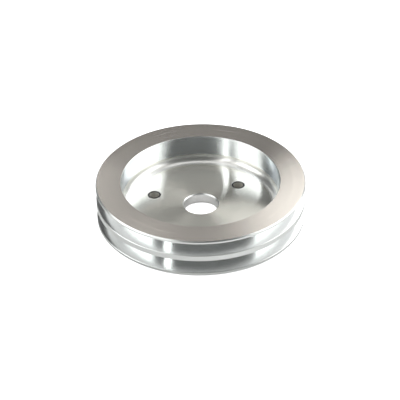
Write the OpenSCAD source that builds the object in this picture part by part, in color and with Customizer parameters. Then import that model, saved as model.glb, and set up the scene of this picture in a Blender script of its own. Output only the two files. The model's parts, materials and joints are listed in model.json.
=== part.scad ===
// Two-groove V-belt pulley, turned from one billet, with three steel
// bushings pressed into its bolt holes. The rear face lies on z = 0, the spin
// axis is Z, and the deep recess opens towards +Z.

/* [Rim] */
// Outside diameter over the lands
rim_d = 146.05; // [143:0.05:170]
// Width of each belt groove at the outside diameter
groove_w = 9.65; // [9:0.05:11]
// Distance between the middles of the two grooves
groove_pitch = 13.77; // [13:0.01:16]
// Included angle of each groove
groove_angle = 36; // [34:1:38]
// Radius of the rounded bottom of each groove
groove_nose_r = 1.7; // [1.4:0.1:2]
// Width of the land between the first groove and the front face
front_land = 2.1; // [1.8:0.1:5]
// Width of the land between the last groove and the rear face
rear_land = 2.8; // [1.8:0.1:6]

/* [Recess] */
// Diameter of the round recess
recess_d = 110.4; // [96:0.1:112]
// Thickness of the web behind the recess
web_t = 8; // [6:0.1:12]
// Fillet between the recess wall and the web
recess_fillet = 5.5; // [2:0.5:8]

/* [Mounting] */
// Diameter of the pilot bore
bore_d = 24; // [20:0.05:32]
// Chamfer at each end of the pilot bore
bore_chamfer = 0.7; // [0.2:0.1:1]
// Diameter of the circle through the bolt holes
bolt_circle_d = 69.85; // [60:0.05:76]
// Angle of the first bolt hole, anticlockwise from +X
bolt_phase = 30; // [0:5:115]
// Outside diameter of the bolt bushings
bushing_d = 9.4; // [8.5:0.1:11]
// Bolt hole through each bushing
bushing_bore_d = 7; // [6.4:0.1:7.4]

/* [Edges] */
// Chamfer on the outer corners of the rim
rim_chamfer = 0.8; // [0.3:0.1:1]
// Chamfer at the mouth of the recess
mouth_chamfer = 0.4; // [0.2:0.1:1]
// Edge break where a groove meets a land
lip_break = 0.25; // [0.1:0.05:0.4]
// Edge break at the ends of each bushing and its hole
bushing_break = 0.15; // [0.1:0.05:0.3]

/* [Hidden] */
$fn = 240;
groove_count = 2;
bolt_count = 3;
eps = 1;
rim_r = rim_d / 2;
recess_r = recess_d / 2;
bore_r = bore_d / 2;
bushing_r = bushing_d / 2;
bushing_bore_r = bushing_bore_d / 2;
rim_h = front_land + groove_w + (groove_count - 1) * groove_pitch + rear_land;
flank_slope = tan(groove_angle / 2);
// Radius at which the two flanks of a groove would meet
groove_apex_r = rim_r - groove_w / 2 / flank_slope;
// Radius at which the centre of the rounded groove bottom lies
groove_nose_at = groove_apex_r + groove_nose_r / sin(groove_angle / 2);

// Half the width of a groove at radius r, on its straight flanks
function groove_half_w(r) = (r - groove_apex_r) * flank_slope;

// Half section of the plain blank: bored, faced and chamfered
module blank_section() {
    polygon([
        [bore_r, bore_chamfer],
        [bore_r + bore_chamfer, 0],
        [rim_r - rim_chamfer, 0],
        [rim_r, rim_chamfer],
        [rim_r, rim_h - rim_chamfer],
        [rim_r - rim_chamfer, rim_h],
        [bore_r, rim_h]
    ]);
}

// Half section of the recess, which also chamfers the front end of the bore
module recess_section() {
    polygon([
        [0, web_t - bore_chamfer - bore_r],
        [bore_r + bore_chamfer, web_t],
        [recess_r - recess_fillet, web_t],
        [recess_r, web_t + recess_fillet],
        [recess_r, rim_h - mouth_chamfer],
        [recess_r + mouth_chamfer + eps, rim_h + eps],
        [0, rim_h + eps]
    ]);
    translate([recess_r - recess_fillet, web_t + recess_fillet])
        circle(r = recess_fillet);
}

// Section of one groove about its own middle: broken lips, flanks, round bottom
module groove_section() {
    nose_tangent_r = groove_nose_at - groove_nose_r * sin(groove_angle / 2);
    lip_r = rim_r - lip_break;
    mouth_half_w = groove_w / 2 + lip_break + eps * (1 + flank_slope);
    polygon([
        [rim_r + eps, mouth_half_w],
        [lip_r, groove_half_w(lip_r)],
        [nose_tangent_r, groove_half_w(nose_tangent_r)],
        [nose_tangent_r, -groove_half_w(nose_tangent_r)],
        [lip_r, -groove_half_w(lip_r)],
        [rim_r + eps, -mouth_half_w]
    ]);
    translate([groove_nose_at, 0])
        circle(r = groove_nose_r);
}

// Half section of the whole turned pulley, before its bolt holes
module pulley_section() {
    difference() {
        blank_section();
        recess_section();
        for (i = [0 : groove_count - 1])
            translate([0, rear_land + groove_w / 2 + i * groove_pitch])
                groove_section();
    }
}

// Places a child at bolt position i, on the bolt circle
module at_bolt(i) {
    rotate(bolt_phase + i * 360 / bolt_count)
        translate([bolt_circle_d / 2, 0, 0])
            children();
}

// Hole for one bushing, with its edges broken at both faces of the web
module bushing_hole() {
    translate([0, 0, -eps])
        cylinder(r = bushing_r, h = web_t + 2 * eps);
    translate([0, 0, -eps])
        cylinder(r1 = bushing_r + bushing_break + eps, r2 = bushing_r, h = bushing_break + eps);
    translate([0, 0, web_t - bushing_break])
        cylinder(r1 = bushing_r, r2 = bushing_r + bushing_break + eps, h = bushing_break + eps);
}

// The turned aluminium pulley
module pulley() {
    color("silver")
        difference() {
            rotate_extrude()
                pulley_section();
            for (i = [0 : bolt_count - 1])
                at_bolt(i)
                    bushing_hole();
        }
}

// One steel bushing, flush with both faces of the web
module bolt_bushing(i) {
    color("dimgray")
        at_bolt(i)
            rotate_extrude()
                polygon([
                    [bushing_bore_r + bushing_break, 0],
                    [bushing_r - bushing_break, 0],
                    [bushing_r, bushing_break],
                    [bushing_r, web_t - bushing_break],
                    [bushing_r - bushing_break, web_t],
                    [bushing_bore_r + bushing_break, web_t],
                    [bushing_bore_r, web_t - bushing_break],
                    [bushing_bore_r, bushing_break]
                ]);
}

pulley();
bolt_bushing(0);  // bolt_bushing_1
bolt_bushing(1);  // bolt_bushing_2
bolt_bushing(2);  // bolt_bushing_3
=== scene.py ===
import json
import math

import bmesh
import bpy
from mathutils import Matrix, Vector


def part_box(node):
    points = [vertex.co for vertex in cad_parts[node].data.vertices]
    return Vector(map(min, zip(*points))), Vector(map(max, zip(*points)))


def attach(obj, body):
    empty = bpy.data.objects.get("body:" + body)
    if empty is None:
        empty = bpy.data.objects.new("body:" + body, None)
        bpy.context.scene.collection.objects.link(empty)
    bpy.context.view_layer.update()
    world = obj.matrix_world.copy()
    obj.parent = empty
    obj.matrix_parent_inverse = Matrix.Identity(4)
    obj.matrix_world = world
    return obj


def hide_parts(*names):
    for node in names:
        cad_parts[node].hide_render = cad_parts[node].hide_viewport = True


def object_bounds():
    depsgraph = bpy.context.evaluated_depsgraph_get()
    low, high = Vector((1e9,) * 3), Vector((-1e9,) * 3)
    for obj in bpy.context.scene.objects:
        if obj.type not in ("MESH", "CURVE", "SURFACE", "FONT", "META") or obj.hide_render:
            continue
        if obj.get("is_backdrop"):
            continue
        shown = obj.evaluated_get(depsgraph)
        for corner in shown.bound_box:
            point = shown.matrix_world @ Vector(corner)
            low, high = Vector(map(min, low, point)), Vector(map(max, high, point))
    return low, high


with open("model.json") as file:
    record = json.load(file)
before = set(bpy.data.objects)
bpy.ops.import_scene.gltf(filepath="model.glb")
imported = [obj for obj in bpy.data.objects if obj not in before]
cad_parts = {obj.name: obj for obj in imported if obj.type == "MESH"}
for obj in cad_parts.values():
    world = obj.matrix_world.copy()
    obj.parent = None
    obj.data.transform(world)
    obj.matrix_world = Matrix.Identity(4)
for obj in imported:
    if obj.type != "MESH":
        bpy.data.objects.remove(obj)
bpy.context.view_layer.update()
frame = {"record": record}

# Sizes in metres. Those that a mount or a node's box gives are read from the frame.
MM = 0.001
mounts = {m["name"]: m for m in frame["record"]["mounts"]}
pulley_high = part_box("pulley")[1]
RIM_R = round(pulley_high.x, 6)
RIM_H = round(pulley_high.z, 6)
BORE_R = mounts["pilot_bore"]["dims"]["r_mm"] * MM
BOLT_NODES = ["bolt_bushing_1", "bolt_bushing_2", "bolt_bushing_3"]
WEB_T = round(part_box(BOLT_NODES[0])[1].z, 6)
BUSHING_HOLE_R = 4.7 * MM
BUSHING_BORE_R = mounts["bolt_circle"]["dims"]["hole_r_mm"] * MM
RECESS_R = 55.2 * MM
RECESS_FILLET = 5.5 * MM
BORE_CHAMFER = 0.7 * MM
RIM_CHAMFER = 0.8 * MM
MOUTH_CHAMFER = 0.4 * MM
GROOVE_COUNT = 2
GROOVE_W = 9.65 * MM
GROOVE_PITCH = 13.77 * MM
GROOVE_HALF_ANGLE = math.radians(18)
GROOVE_NOSE_R = 1.7 * MM
REAR_LAND = 2.8 * MM
LIP_BREAK = 0.25 * MM
BUSHING_BREAK = 0.15 * MM
# An extra ring lies this close to the fillet on the wall and the web, so that they shade flat.
EDGE_MARGIN = 0.3 * MM
# The cutter of the bushing holes reaches this far past both faces of the web.
DRILL_OVERSHOOT = 1 * MM
# Steps round each turned piece and each hole, and the longest step along an arc
PULLEY_STEPS = 360
BUSHING_STEPS = 96
DRILL_STEPS = 72
ARC_STEP = math.radians(6)
# An edge whose faces turn by more than this is shaded as a sharp one.
SHARP_ANGLE = math.radians(25)

# The photograph's view: the camera circles the middle of the front face.
VIEW_AZIMUTH = math.radians(-10)
VIEW_ELEVATION = math.radians(34.95)
VIEW_ROLL = math.radians(-0.99)
VIEW_DISTANCE = 1.1374
VIEW_LENS = 147.4
SENSOR_WIDTH = 36
CLIP_START = 0.05
CLIP_END = 20
AIM_RIGHT = 0.00034
AIM_UP = 0.01415


def arc(centre, radius, start, end):
    """Points of an arc in the (r, z) half plane, both ends included, angles in radians."""
    steps = max(1, round(abs(end - start) / ARC_STEP))
    angles = [start + (end - start) * i / steps for i in range(steps + 1)]
    return [(centre[0] + radius * math.cos(a), centre[1] + radius * math.sin(a)) for a in angles]


def groove_section(middle):
    """One belt groove, from its rear lip to its front lip, as (zone, points) runs."""
    slope = math.tan(GROOVE_HALF_ANGLE)
    apex_r = RIM_R - GROOVE_W / 2 / slope
    nose_at = apex_r + GROOVE_NOSE_R / math.sin(GROOVE_HALF_ANGLE)
    lip_r = RIM_R - LIP_BREAK
    lip_half_w = (lip_r - apex_r) * slope
    mouth_half_w = GROOVE_W / 2 + LIP_BREAK
    turn = math.pi / 2 + GROOVE_HALF_ANGLE
    nose = arc((nose_at, middle), GROOVE_NOSE_R, -turn, -2 * math.pi + turn)
    return [
        ("edge", [(RIM_R, middle - mouth_half_w), (lip_r, middle - lip_half_w)]),
        ("groove", [(lip_r, middle - lip_half_w), *nose, (lip_r, middle + lip_half_w)]),
        ("edge", [(lip_r, middle + lip_half_w), (RIM_R, middle + mouth_half_w)]),
    ]


def pulley_section():
    """The turned half section as (zone, points) runs, round the metal from the bore outwards."""
    half = GROOVE_W / 2 + LIP_BREAK
    runs = [
        ("edge", [(BORE_R, BORE_CHAMFER), (BORE_R + BORE_CHAMFER, 0)]),
        ("web", [(BORE_R + BORE_CHAMFER, 0), (RIM_R - RIM_CHAMFER, 0)]),
        ("edge", [(RIM_R - RIM_CHAMFER, 0), (RIM_R, RIM_CHAMFER)]),
    ]
    land_from = RIM_CHAMFER
    for i in range(GROOVE_COUNT):
        middle = REAR_LAND + GROOVE_W / 2 + i * GROOVE_PITCH
        runs.append(("land", [(RIM_R, land_from), (RIM_R, middle - half)]))
        runs += groove_section(middle)
        land_from = middle + half
    runs += [
        ("land", [(RIM_R, land_from), (RIM_R, RIM_H - RIM_CHAMFER)]),
        ("edge", [(RIM_R, RIM_H - RIM_CHAMFER), (RIM_R - RIM_CHAMFER, RIM_H)]),
        ("face", [(RIM_R - RIM_CHAMFER, RIM_H), (RECESS_R + MOUTH_CHAMFER, RIM_H)]),
        ("edge", [(RECESS_R + MOUTH_CHAMFER, RIM_H), (RECESS_R, RIM_H - MOUTH_CHAMFER)]),
    ]
    corner = (RECESS_R - RECESS_FILLET, WEB_T + RECESS_FILLET)
    fillet = arc(corner, RECESS_FILLET, 0, -math.pi / 2)
    wall_top = (RECESS_R, RIM_H - MOUTH_CHAMFER)
    web_edge = (BORE_R + BORE_CHAMFER, WEB_T)
    runs += [
        ("wall", [wall_top, (RECESS_R, corner[1] + EDGE_MARGIN), fillet[0]]),
        ("fillet", fillet),
        ("web", [fillet[-1], (corner[0] - EDGE_MARGIN, WEB_T), web_edge]),
        ("edge", [web_edge, (BORE_R, WEB_T - BORE_CHAMFER)]),
        ("bore", [(BORE_R, WEB_T - BORE_CHAMFER), (BORE_R, BORE_CHAMFER)]),
    ]
    return runs


def bushing_section():
    """Half section of one bushing, as (zone, points) runs: dark ends and outside, bare bore."""
    outer, inner, cut = BUSHING_HOLE_R, BUSHING_BORE_R, BUSHING_BREAK
    return [
        ("bore", [(inner, WEB_T - cut), (inner, cut)]),
        ("ring", [(inner, cut), (inner + cut, 0), (outer - cut, 0), (outer, cut)]),
        ("ring", [(outer, cut), (outer, WEB_T - cut)]),
        ("ring", [(outer, WEB_T - cut), (outer - cut, WEB_T), (inner + cut, WEB_T)]),
        ("ring", [(inner + cut, WEB_T), (inner, WEB_T - cut)]),
    ]


def lathe(name, runs, materials, centre, steps):
    """Turns (zone, points) runs about a vertical axis into one closed mesh, one slot per zone."""
    mesh = bpy.data.meshes.new(name)
    body = bmesh.new()
    zones = list(materials)
    rings = {}

    def ring(point):
        key = (round(point[0], 8), round(point[1], 8))
        if key not in rings:
            r, z = key
            turns = [2 * math.pi * i / steps for i in range(steps)]
            rings[key] = [
                body.verts.new((centre[0] + r * math.cos(t), centre[1] + r * math.sin(t), z))
                for t in turns
            ]
        return rings[key]

    for zone, points in runs:
        for first, second in zip(points, points[1:]):
            a, b = ring(first), ring(second)
            for i in range(steps):
                j = (i + 1) % steps
                made = body.faces.new((a[i], a[j], b[j], b[i]))
                made.material_index = zones.index(zone)
    bmesh.ops.recalc_face_normals(body, faces=body.faces)
    body.to_mesh(mesh)
    body.free()
    for zone in zones:
        mesh.materials.append(materials[zone])
    piece = bpy.data.objects.new(name, mesh)
    bpy.context.scene.collection.objects.link(piece)
    return piece


def drill(piece, centres, material):
    """Cuts the bushing holes through the web, with a broken edge at each face."""
    end_r = BUSHING_HOLE_R + BUSHING_BREAK + DRILL_OVERSHOOT
    section = [
        (end_r, -DRILL_OVERSHOOT),
        (BUSHING_HOLE_R, BUSHING_BREAK),
        (BUSHING_HOLE_R, WEB_T - BUSHING_BREAK),
        (end_r, WEB_T + DRILL_OVERSHOOT),
    ]
    cutter_mesh = bpy.data.meshes.new("bushing_holes")
    body = bmesh.new()
    for x, y in centres:
        rings = []
        for r, z in section:
            # Half a step round, so that no corner of a hole meets an edge of the turned rings
            turns = [2 * math.pi * (i + 0.5) / DRILL_STEPS for i in range(DRILL_STEPS)]
            places = [(x + r * math.cos(t), y + r * math.sin(t), z) for t in turns]
            rings.append([body.verts.new(place) for place in places])
        for a, b in zip(rings, rings[1:]):
            for i in range(DRILL_STEPS):
                j = (i + 1) % DRILL_STEPS
                body.faces.new((a[i], a[j], b[j], b[i]))
        body.faces.new(rings[0][::-1])
        body.faces.new(rings[-1])
    bmesh.ops.recalc_face_normals(body, faces=body.faces)
    body.to_mesh(cutter_mesh)
    body.free()
    cutter_mesh.materials.append(material)
    cutter = bpy.data.objects.new("bushing_holes", cutter_mesh)
    bpy.context.scene.collection.objects.link(cutter)
    cut = piece.modifiers.new("bushing_holes", "BOOLEAN")
    cut.object = cutter
    cut.operation = "DIFFERENCE"
    cut.solver = "EXACT"
    cut.material_mode = "TRANSFER"
    evaluated = piece.evaluated_get(bpy.context.evaluated_depsgraph_get())
    result = bpy.data.meshes.new_from_object(evaluated)
    piece.modifiers.clear()
    piece.data = result
    bpy.data.objects.remove(cutter)


def shade(piece):
    """Smooth shading, with an edge kept sharp where its faces turn by more than SHARP_ANGLE."""
    piece.data.shade_smooth()
    piece.data.set_sharp_from_angle(angle=SHARP_ANGLE)


def node(tree, kind, **values):
    """A new shader node. Values whose names are its own settings are set; the rest are inputs."""
    made = tree.nodes.new(kind)
    for name, value in values.items():
        if hasattr(made, name):
            setattr(made, name, value)
        else:
            made.inputs[name.replace("_", " ")].default_value = value
    return made


def link(tree, out, into):
    tree.links.new(out, into)


def math_node(tree, operation, a, b):
    """A Math node's output; a and b are numbers or sockets."""
    made = tree.nodes.new("ShaderNodeMath")
    made.operation = operation
    for socket, value in zip(made.inputs, (a, b)):
        if isinstance(value, (int, float)):
            socket.default_value = value
        else:
            link(tree, value, socket)
    return made.outputs[0]


def remap(tree, value, low, high):
    """Maps 0..1 onto low..high."""
    made = node(tree, "ShaderNodeMapRange")
    made.inputs["To Min"].default_value = low
    made.inputs["To Max"].default_value = high
    link(tree, value, made.inputs["Value"])
    return made.outputs["Result"]


# What a finish is made of: how much each pattern counts, and how fine the two broad ones are,
# in features per metre.
MARKS_SHARE = 0.45
BANDS_SHARE = 0.35
WEAR_SHARE = 0.2
BANDS_SCALE = 180.0
WEAR_SCALE = 28.0
BUMP_STRENGTH = 0.35
# Quarter of a turn, so that the gloss spreads across the tool marks.
ACROSS_THE_MARKS = 0.25


def turned_metal(
    name, colour, roughness, spread, anisotropy, line_mm, depth_mm, tint=0.06, metallic=1.0
):
    """Lathe-turned metal. The tool marks are rings, so every pattern depends on the distance
    from the axis and on the height, with only a faint change round the ring. line_mm is the
    width of one tool mark and depth_mm its height in the bump. spread is how far the roughness
    strays either way, and tint how far the colour does."""
    material = bpy.data.materials.new(name)
    material.use_nodes = True
    tree = material.node_tree
    shader = tree.nodes["Principled BSDF"]
    shader.inputs["Metallic"].default_value = metallic
    shader.inputs["Anisotropic"].default_value = anisotropy
    shader.inputs["Anisotropic Rotation"].default_value = ACROSS_THE_MARKS

    place = node(tree, "ShaderNodeTexCoord").outputs["Object"]
    split = node(tree, "ShaderNodeSeparateXYZ")
    link(tree, place, split.inputs[0])
    x, y, z = split.outputs
    flat = node(tree, "ShaderNodeCombineXYZ")
    link(tree, x, flat.inputs[0])
    link(tree, y, flat.inputs[1])
    length = node(tree, "ShaderNodeVectorMath", operation="LENGTH")
    link(tree, flat.outputs[0], length.inputs[0])
    radius = length.outputs["Value"]
    rings = node(tree, "ShaderNodeCombineXYZ")
    link(tree, radius, rings.inputs[0])
    link(tree, z, rings.inputs[1])

    # Fine tool marks, broad bands left by the feed, and slow wear over the whole surface
    marks = node(tree, "ShaderNodeTexNoise", Scale=1000 / line_mm, Detail=2.0, Roughness=0.6)
    link(tree, rings.outputs[0], marks.inputs["Vector"])
    bands = node(tree, "ShaderNodeTexNoise", Scale=BANDS_SCALE, Detail=3.0, Roughness=0.65)
    link(tree, rings.outputs[0], bands.inputs["Vector"])
    wear = node(tree, "ShaderNodeTexNoise", Scale=WEAR_SCALE, Detail=4.0, Roughness=0.55)
    link(tree, place, wear.inputs["Vector"])

    mixed = math_node(tree, "MULTIPLY", marks.outputs["Fac"], MARKS_SHARE)
    for pattern, share in ((bands, BANDS_SHARE), (wear, WEAR_SHARE)):
        part = math_node(tree, "MULTIPLY", pattern.outputs["Fac"], share)
        mixed = math_node(tree, "ADD", mixed, part)
    rough = remap(tree, mixed, roughness - spread, roughness + spread)
    link(tree, rough, shader.inputs["Roughness"])

    shades = node(tree, "ShaderNodeMix", data_type="RGBA")
    shades.inputs[6].default_value = (*[c * (1 - tint) for c in colour], 1)
    shades.inputs[7].default_value = (*[min(1, c * (1 + tint)) for c in colour], 1)
    link(tree, mixed, shades.inputs[0])
    link(tree, shades.outputs[2], shader.inputs["Base Color"])

    bump = node(tree, "ShaderNodeBump", Strength=BUMP_STRENGTH, Distance=depth_mm * MM)
    link(tree, marks.outputs["Fac"], bump.inputs["Height"])
    link(tree, bump.outputs["Normal"], shader.inputs["Normal"])
    tangent = node(tree, "ShaderNodeTangent", direction_type="RADIAL", axis="Z")
    link(tree, tangent.outputs[0], shader.inputs["Tangent"])
    return material


BARE_ALUMINIUM = (0.82, 0.84, 0.82)
# Painted light: the aluminium's own colour is near BARE_ALUMINIUM. The rim face, web and fillet
# colours are painted warmer, the recess wall bluer and the grooves brighter, to stand for the
# light that each zone reflects.
pulley_materials = {
    "face": turned_metal(
        "aluminium_rim_face_painted_warm_light", (0.87, 0.82, 0.75),
        roughness=0.26, spread=0.05, anisotropy=0.8, line_mm=0.25, depth_mm=0.003,
    ),
    "web": turned_metal(
        "aluminium_web_painted_warm_light", (0.86, 0.85, 0.77),
        roughness=0.26, spread=0.05, anisotropy=0.9, line_mm=0.3, depth_mm=0.003,
    ),
    "fillet": turned_metal(
        "aluminium_fillet_painted_warm_light", (0.85, 0.85, 0.81),
        roughness=0.3, spread=0.05, anisotropy=0.8, line_mm=0.3, depth_mm=0.003,
    ),
    "wall": turned_metal(
        "aluminium_recess_wall_painted_cool_light", (0.79, 0.84, 0.89),
        roughness=0.14, spread=0.04, anisotropy=0.9, line_mm=0.3, depth_mm=0.001,
    ),
    "groove": turned_metal(
        "aluminium_groove_painted_bright_light", (0.93, 0.95, 0.94),
        roughness=0.15, spread=0.03, anisotropy=0.9, line_mm=0.25, depth_mm=0.001,
    ),
    "land": turned_metal(
        "aluminium_land", BARE_ALUMINIUM,
        roughness=0.22, spread=0.05, anisotropy=0.7, line_mm=0.25, depth_mm=0.002,
    ),
    "bore": turned_metal(
        "aluminium_bore", (0.8, 0.8, 0.78),
        roughness=0.3, spread=0.06, anisotropy=0.5, line_mm=0.3, depth_mm=0.004,
    ),
    "edge": turned_metal(
        "aluminium_edge", BARE_ALUMINIUM,
        roughness=0.34, spread=0.04, anisotropy=0.3, line_mm=0.2, depth_mm=0.001,
    ),
}
bushing_materials = {
    "ring": turned_metal(
        "bushing_black_oxide", (0.05, 0.05, 0.048),
        roughness=0.42, spread=0.08, anisotropy=0.2, line_mm=0.2, depth_mm=0.004, tint=0.15,
    ),
    "bore": turned_metal(
        "bushing_reamed_bore", (0.58, 0.57, 0.52),
        roughness=0.5, spread=0.06, anisotropy=0.3, line_mm=0.2, depth_mm=0.004, tint=0.1,
        metallic=0.2,
    ),
}

pulley = lathe("pulley_turned", pulley_section(), pulley_materials, (0, 0), PULLEY_STEPS)
bolt_centres = []
for name in BOLT_NODES:
    low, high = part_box(name)
    middle = (low + high) / 2
    bolt_centres.append((middle.x, middle.y))
drill(pulley, bolt_centres, pulley_materials["edge"])
shade(pulley)
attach(pulley, "root")
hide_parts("pulley")

for name, centre in zip(BOLT_NODES, bolt_centres):
    section = bushing_section()
    bushing = lathe(name + "_turned", section, bushing_materials, centre, BUSHING_STEPS)
    shade(bushing)
    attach(bushing, "root")
    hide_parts(name)

# Studio: a few softboxes round the object, over a lit pale floor.
# Softboxes: degrees to the right of the camera, degrees up, distance, width and height in
# metres, and radiance, which is how bright a mirror shows the box.
SOFTBOXES = {
    "left_box": (-80, 30, 0.8, 0.6, 0.7, 2.0),
    "right_box": (95, 30, 0.8, 0.9, 0.7, 2.0),
    "back_right_box": (150, 35, 0.8, 0.4, 0.6, 2.5),
    "back_left_strip": (-160, 40, 0.8, 0.1, 0.6, 2.0),
    "top_box": (180, 75, 1.0, 0.8, 0.6, 2.0),
    "left_strip": (-40, 35, 0.8, 0.1, 0.8, 3.0),
}
# Brightness of the room, and of the backdrop and the floor's glow, which only the camera sees
AMBIENT = 0.1
BACKDROP = 1.0
FLOOR_GLOW = 1.0
FLOOR_GREY = 0.93
FLOOR_HALF = 4.0
# The floor lies this far under the rear face, so that the two never share a plane.
FLOOR_GAP = 0.2 * MM


def softbox(name, azimuth, elevation, distance, width, height, radiance):
    """A rectangular light that faces the middle of the front face. The camera doesn't see it."""
    light = bpy.data.lights.new(name, "AREA")
    light.shape = "RECTANGLE"
    light.size = width
    light.size_y = height
    light.energy = radiance * math.pi * width * height
    a, e = VIEW_AZIMUTH + math.radians(azimuth), math.radians(elevation)
    towards = Vector((math.sin(a) * math.cos(e), -math.cos(a) * math.cos(e), math.sin(e)))
    lamp = bpy.data.objects.new(name, light)
    lamp.location = Vector((0, 0, RIM_H)) + towards * distance
    lamp.rotation_euler = towards.to_track_quat("Z", "Y").to_euler()
    lamp.visible_camera = False
    bpy.context.scene.collection.objects.link(lamp)


def make_floor():
    mesh = bpy.data.meshes.new("floor")
    half, down = FLOOR_HALF, -FLOOR_GAP
    corners = [(-half, -half, down), (half, -half, down), (half, half, down), (-half, half, down)]
    mesh.from_pydata(corners, [], [(0, 1, 2, 3)])
    floor = bpy.data.objects.new("floor", mesh)
    bpy.context.scene.collection.objects.link(floor)
    material = bpy.data.materials.new("floor_light_table")
    material.use_nodes = True
    tree = material.node_tree
    shader = tree.nodes["Principled BSDF"]
    shader.inputs["Base Color"].default_value = (FLOOR_GREY, FLOOR_GREY, FLOOR_GREY, 1)
    shader.inputs["Roughness"].default_value = 0.9
    shader.inputs["Specular IOR Level"].default_value = 0.1
    shader.inputs["Emission Color"].default_value = (1, 1, 1, 1)
    path = node(tree, "ShaderNodeLightPath")
    glow = remap(tree, path.outputs["Is Camera Ray"], 0, FLOOR_GLOW)
    link(tree, glow, shader.inputs["Emission Strength"])
    mesh.materials.append(material)
    floor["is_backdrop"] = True


def make_surround():
    """A dim room round the softboxes. The camera sees it as a plain pale backdrop instead."""
    world = bpy.data.worlds.new("surround")
    world.use_nodes = True
    tree = world.node_tree
    back = tree.nodes["Background"]
    back.inputs["Color"].default_value = (1, 1, 1, 1)
    path = node(tree, "ShaderNodeLightPath")
    level = remap(tree, path.outputs["Is Camera Ray"], AMBIENT, BACKDROP)
    link(tree, level, back.inputs["Strength"])
    bpy.context.scene.world = world


def make_camera():
    a, e = VIEW_AZIMUTH, VIEW_ELEVATION
    back = Vector((math.sin(a) * math.cos(e), -math.cos(a) * math.cos(e), math.sin(e)))
    level = Vector((math.cos(a), math.sin(a), 0))
    rise = back.cross(level)
    right = math.cos(VIEW_ROLL) * level + math.sin(VIEW_ROLL) * rise
    up = -math.sin(VIEW_ROLL) * level + math.cos(VIEW_ROLL) * rise
    data = bpy.data.cameras.new("camera")
    data.lens = VIEW_LENS
    data.sensor_width = SENSOR_WIDTH
    data.clip_start = CLIP_START
    data.clip_end = CLIP_END
    camera = bpy.data.objects.new("camera", data)
    place = Vector((0, 0, RIM_H)) + back * VIEW_DISTANCE - right * AIM_RIGHT - up * AIM_UP
    turn = Matrix((right, up, back)).transposed().to_4x4()
    camera.matrix_world = Matrix.Translation(place) @ turn
    bpy.context.scene.collection.objects.link(camera)
    bpy.context.scene.camera = camera


make_floor()
make_surround()
for name, values in SOFTBOXES.items():
    softbox(name, *values)
make_camera()
bpy.context.scene.view_settings.view_transform = "Standard"

low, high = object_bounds()
